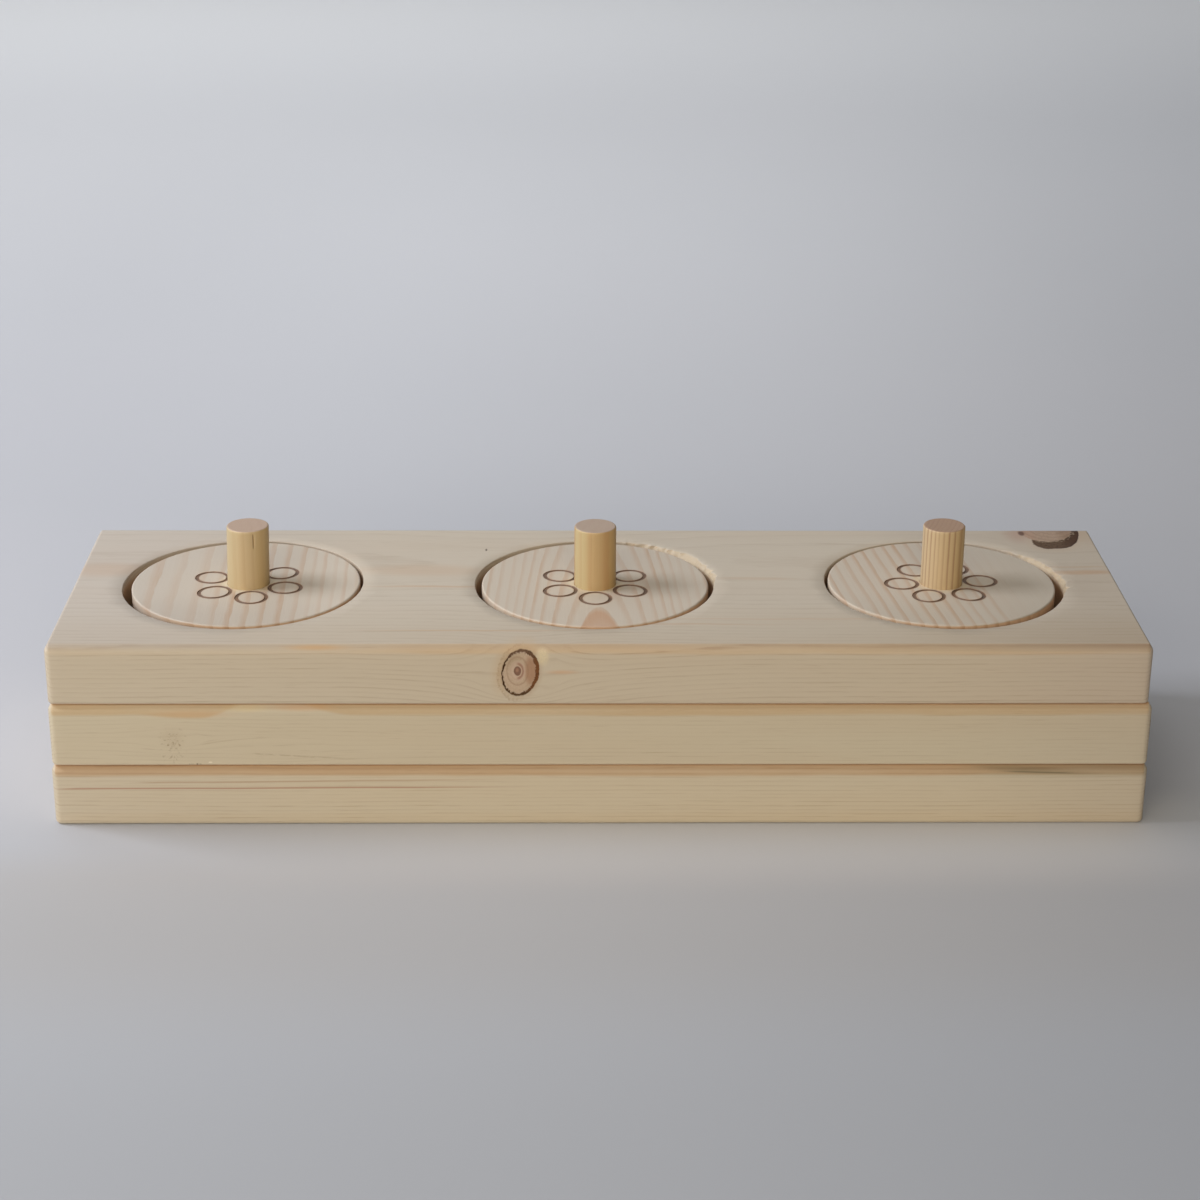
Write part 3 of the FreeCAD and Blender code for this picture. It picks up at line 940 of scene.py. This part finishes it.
def lid_material(side):
    wood = Wood("pine_lid_" + side)
    cx, cy = LIDS[side]
    lean = math.radians({"left": 1.5, "middle": 0.0, "right": 6.6}[side])
    u, v = wood.x - cx, wood.y - cy
    across = u * math.cos(lean) + v * math.sin(lean)
    along = v * math.cos(lean) - u * math.sin(lean)
    over = wood.z - LID_TOP
    if side == "left":
        turns = across * across * 0.00164 + across * 0.218 + over * 0.06 + 4.4
        strength, wander = 0.62, (0.25, 0.1)
    elif side == "middle":
        arch = (v + 19.8) * 0.09 + over * 0.3 + 12.0
        turns = distance(across - 0.7, arch) / 2.45
        strength, wander = 0.5, (0.15, 0.08)
    else:
        turns = across * 0.288 + over * 0.05 + 5.6
        strength, wander = across.ramp(17.0, 6.0) * 0.6 + 0.06, (0.15, 0.08)
    wood.grow(along, across, over, turns, ((197, 184, 166), (181, 141, 105), (196, 180, 160)),
              strength, wander=wander, broken=0.25, fibre=0.7, seed=4.0 + cx * 0.01)
    if side == "middle":
        wood.paint(turns.ramp(4.95, 4.8) * v.ramp(-17.0, -21.0) * 0.55, (186, 140, 104))
    if side == "left":
        # painted light: cooler and dimmer toward the left, and painted shade toward the front
        wood.shade(u.ramp(8, -30) * 0.7, (244, 246, 250))
        wood.shade(v.ramp(-6, -28), (244, 244, 245))
        wood.paint(u.ramp(10, 28) * 0.3, (220, 208, 190))
    elif side == "right":
        # painted shade toward the right and the front
        wood.shade(u.ramp(2, 28), (243, 243, 242))
        wood.shade(v.ramp(-6, -28), (247, 247, 246))
    # sawn side, orange, with painted light that keeps it paler where it looks to the left, toward the light
    sawn = wood.nz.size().ramp(0.6, 0.2) * (wood.nx.ramp(-0.85, 0.0) * 0.5 + 0.08)
    wood.paint(sawn * (wood.z.ramp(LID_TOP - 4.5, LID_TOP - 1.5) * 0.6 + 0.4), (218, 160, 108))
    wood.end_grain(wood.ny * math.cos(lean) - wood.nx * math.sin(lean))
    far = petal_field(wood, side)
    upper = wood.z.ramp(LID_TOP - 0.5, LID_TOP - 0.4)
    # paler wood round the foot of the peg
    foot = distance(wood.x - PEGS[side][0], wood.y - PEGS[side][1])
    wood.paint(foot.ramp(9.5, 6.5) * upper * 0.5, (222, 204, 166))
    waver = wood.clouds(0.9, 0.9, 0.0) * 0.05
    wood.paint((far + waver).ramp(1.1, 0.4) * upper * 0.3, (170, 126, 88))
    line = (far + waver).ramp(LINE / 2 + 0.08, LINE / 2 - 0.08) * upper
    wood.cover(line * 0.94, (92, 70, 54), (wood.clouds(0.5, 0.5, 0.0).ramp(-0.8, 0.8), (122, 90, 66)))
    return wood.finish()


def peg_material(side):
    wood = Wood("pine_peg_" + side)
    cx, cy = PEGS[side]
    u, v = wood.x - cx, wood.y - cy
    lean, ring_width, strength, tones, top_colour = {
        "left": (15.0, 2.6, 0.3, ((202, 178, 138), (182, 148, 106), (203, 176, 133)), (173, 147, 132)),
        "middle": (-20.0, 3.2, 0.6, ((201, 175, 131), (184, 128, 82), (197, 165, 110)), (169, 150, 138)),
        "right": (-20.0, 1.27, 0.8, ((206, 179, 137), (150, 106, 78), (202, 172, 128)), (154, 122, 103)),
    }[side]
    lean = math.radians(lean)
    across = u * math.cos(lean) + v * math.sin(lean)
    over = v * math.cos(lean) - u * math.sin(lean)
    turns = distance(across + 40.0, over) / ring_width
    wood.grow(wood.z, across, over, turns, tones, strength, wander=(0.1, 0.05), broken=0.2,
              fibre=0.9, seed=7.0 + cx * 0.01)
    # painted light on the pegs' sides: cooler where they face the light on the left, warmer and more orange
    # on the shaded right
    if side == "middle":
        wood.shade(wood.nx.ramp(-0.7, 0.0), (253, 246, 238))
        wood.shade(wood.nx.ramp(0.0, -0.7), (247, 255, 255))
    elif side == "right":
        wood.shade(wood.nx.ramp(0.1, -0.8), (246, 249, 255))
    wood.shade(wood.nx.ramp(0.1, 0.9), (255, 251, 234))
    wood.paint(wood.nx.ramp(0.3, 0.95) * 0.14, (246, 208, 148))
    wood.paint(wood.nz.ramp(0.6, 0.9) * 0.8, top_colour)
    if side == "left":
        # painted light: cooler on the side that faces the light
        wood.shade(wood.nx.ramp(-0.1, -0.8), (246, 251, 252))
        crack = (v.op("ARCTAN2", u) - math.radians(CRACK_ANGLE)).size().ramp(0.03, 0.01)
        fade = (wood.z - PEG_TOP + 3.0).size().ramp(2.6, 1.6)
        wood.paint(crack * fade * 0.7, (104, 76, 50))
    return wood.finish(low=0.45, high=0.6)


def steel_material():
    material, tree, shader, place = new_material("screw_steel")
    x, y, z = split(tree, place["Object"], 1000.0)
    fine = grain_noise(tree, x * 6.0, y * 6.0, z * 1.2, detail=3.0)
    cloud = grain_noise(tree, x * 0.4, y * 0.4, z * 0.4)
    colour = layered(tree, (176, 174, 168), (cloud.ramp(-1, 1), (202, 198, 186)))
    feed(tree, shader, {"Metallic": 1.0, "Base Color": colour, "Roughness": fine.ramp(-1, 1) * 0.14 + 0.28})
    add_bump(tree, shader, fine, 0.00002, 0.3)
    return material


def make_camera():
    data = bpy.data.cameras.new("camera")
    data.sensor_width = SENSOR
    data.lens = SENSOR * FOCAL_PIXELS / FRAME_PIXELS
    camera = add_object("camera", data)
    down, side, lean = (math.radians(a) for a in (CAMERA_DOWN, CAMERA_SIDE, CAMERA_LEAN))
    ahead = Vector((-math.sin(side) * math.cos(down), math.cos(side) * math.cos(down), -math.sin(down)))
    right = Vector((math.cos(side), math.sin(side), 0))
    up = right.cross(ahead)
    turned_right = right * math.cos(lean) + up * math.sin(lean)
    turned_up = up * math.cos(lean) - right * math.sin(lean)
    camera.matrix_world = Matrix.Translation(CAMERA_AT) @ Matrix(
        (turned_right, turned_up, -ahead)).transposed().to_4x4()
    bpy.context.scene.camera = camera


def make_floor():
    """A pale floor that runs up into a backdrop far behind."""
    steps = 24
    reach, back, bend, height = 3.0, 1.7, 0.9, 2.2
    rows = [(-reach, 0.0), (0.0, 0.0), (back, 0.0)]
    for k in range(1, steps + 1):
        turn = math.pi / 2 * k / steps
        rows.append((back + bend * math.sin(turn), bend * (1 - math.cos(turn))))
    rows.append((back + bend, bend + height))
    points = [(x, y, z) for y, z in rows for x in (-reach, reach)]
    faces = [(2 * i, 2 * i + 1, 2 * i + 3, 2 * i + 2) for i in range(len(rows) - 1)]
    mesh = bpy.data.meshes.new("floor")
    mesh.from_pydata(points, [], faces)
    mesh.shade_smooth()
    floor = add_object("floor", mesh)
    material, tree, shader, place = new_material("pale_floor")
    x, y, z = split(tree, place["Object"], 1.0)
    cloud = grain_noise(tree, x * 3.0, y * 3.0, z * 3.0)
    # painted light on the floor: a lighter patch behind the object, and bounce light just in front of it
    painted_light_behind = y.ramp(0.05, 0.3) * y.ramp(1.1, 0.5) * x.ramp(-0.26, -0.06) * x.ramp(0.3, 0.06)
    beside = x.size().ramp(0.2, 0.13) * y.ramp(-0.09, -0.05) * y.ramp(-0.02, -0.04) * x.ramp(-0.16, 0.0)
    # pale floor and backdrop with painted light and shade: darker toward the front and the front right,
    # brighter up the backdrop, darker at the back right
    pale = layered(tree, (184, 184, 187),
                   (cloud.ramp(-1, 1), (187, 186, 189)),
                   (y.ramp(0.0, -0.11), (177, 178, 181)),
                   (y.ramp(-0.12, -0.22) * 0.45, (164, 165, 168)),
                   (y.ramp(0.02, -0.08) * x.ramp(-0.05, 0.3) * 0.8, (155, 157, 162)),
                   (y.ramp(-0.2, 2.4), (240, 242, 246)),
                   (y.ramp(0.9, 1.5) * 0.6, (251, 252, 254)),
                   (x.ramp(0.12, 0.6) * y.ramp(0.1, 0.5) * y.ramp(1.6, 0.7) * 0.35, (160, 165, 172)),
                   (painted_light_behind * 0.17, (240, 242, 246)),
                   (beside * 0.8, (206, 204, 202)))
    # painted warm reflection of the wood on the floor in front of it
    warm = y.ramp(-0.17, -0.11) * y.ramp(-0.055, -0.08) * x.size().ramp(0.24, 0.14)
    pale = blend(tree, warm, pale, srgb(252, 248, 243), "MULTIPLY")
    feed(tree, shader, {"Base Color": pale, "Roughness": 0.75})
    mesh.materials.append(material)


def area_light(name, place, size, energy, colour, aim=(0, 0, 0.03)):
    data = bpy.data.lights.new(name, "AREA")
    data.shape = "RECTANGLE"
    data.size, data.size_y = size
    data.energy = energy
    data.color = colour
    light = add_object(name, data)
    light.location = place
    light.rotation_euler = (Vector(aim) - Vector(place)).to_track_quat("-Z", "Y").to_euler()


make_camera()
make_floor()
make_board("base_board", base_board_material())
make_board("middle_board", middle_board_material())
make_board("top_board", top_board_material())
for side in LIDS:
    make_lid(side, lid_material(side))
    make_peg(side, peg_material(side))
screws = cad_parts["board_screws"]
screws.data.materials.clear()
screws.data.materials.append(steel_material())

area_light("window", (-0.75, 0.05, 0.62), (0.4, 0.4), 6.4, (0.85, 0.895, 1.0))
area_light("low_window", (-1.0, -0.7, 0.5), (0.7, 0.7), 2.8, (1.0, 0.995, 0.985))
area_light("room", (-0.3, -1.6, 0.8), (1.6, 1.0), 18.2, (1.0, 0.914, 0.776))
area_light("ceiling", (0.0, 0.4, 1.9), (1.6, 1.2), 6.6, (0.94, 0.97, 1.0))
area_light("backdrop_low", (-0.5, 0.55, 1.0), (1.4, 0.6), 8.6, (0.97, 0.985, 1.0), (-0.3, 2.4, 0.45))
area_light("backdrop_high", (-0.9, 1.1, 1.5), (1.2, 1.2), 6.0, (0.965, 0.98, 1.0), (-0.5, 1.7, 0.0))
world = bpy.context.scene.world or bpy.data.worlds.new("world")
bpy.context.scene.world = world
world.use_nodes = True
feed(world.node_tree, world.node_tree.nodes["Background"],
     {"Color": (0.95, 0.97, 1.0, 1.0), "Strength": 0.03})

bpy.context.scene.view_settings.view_transform = "Standard"
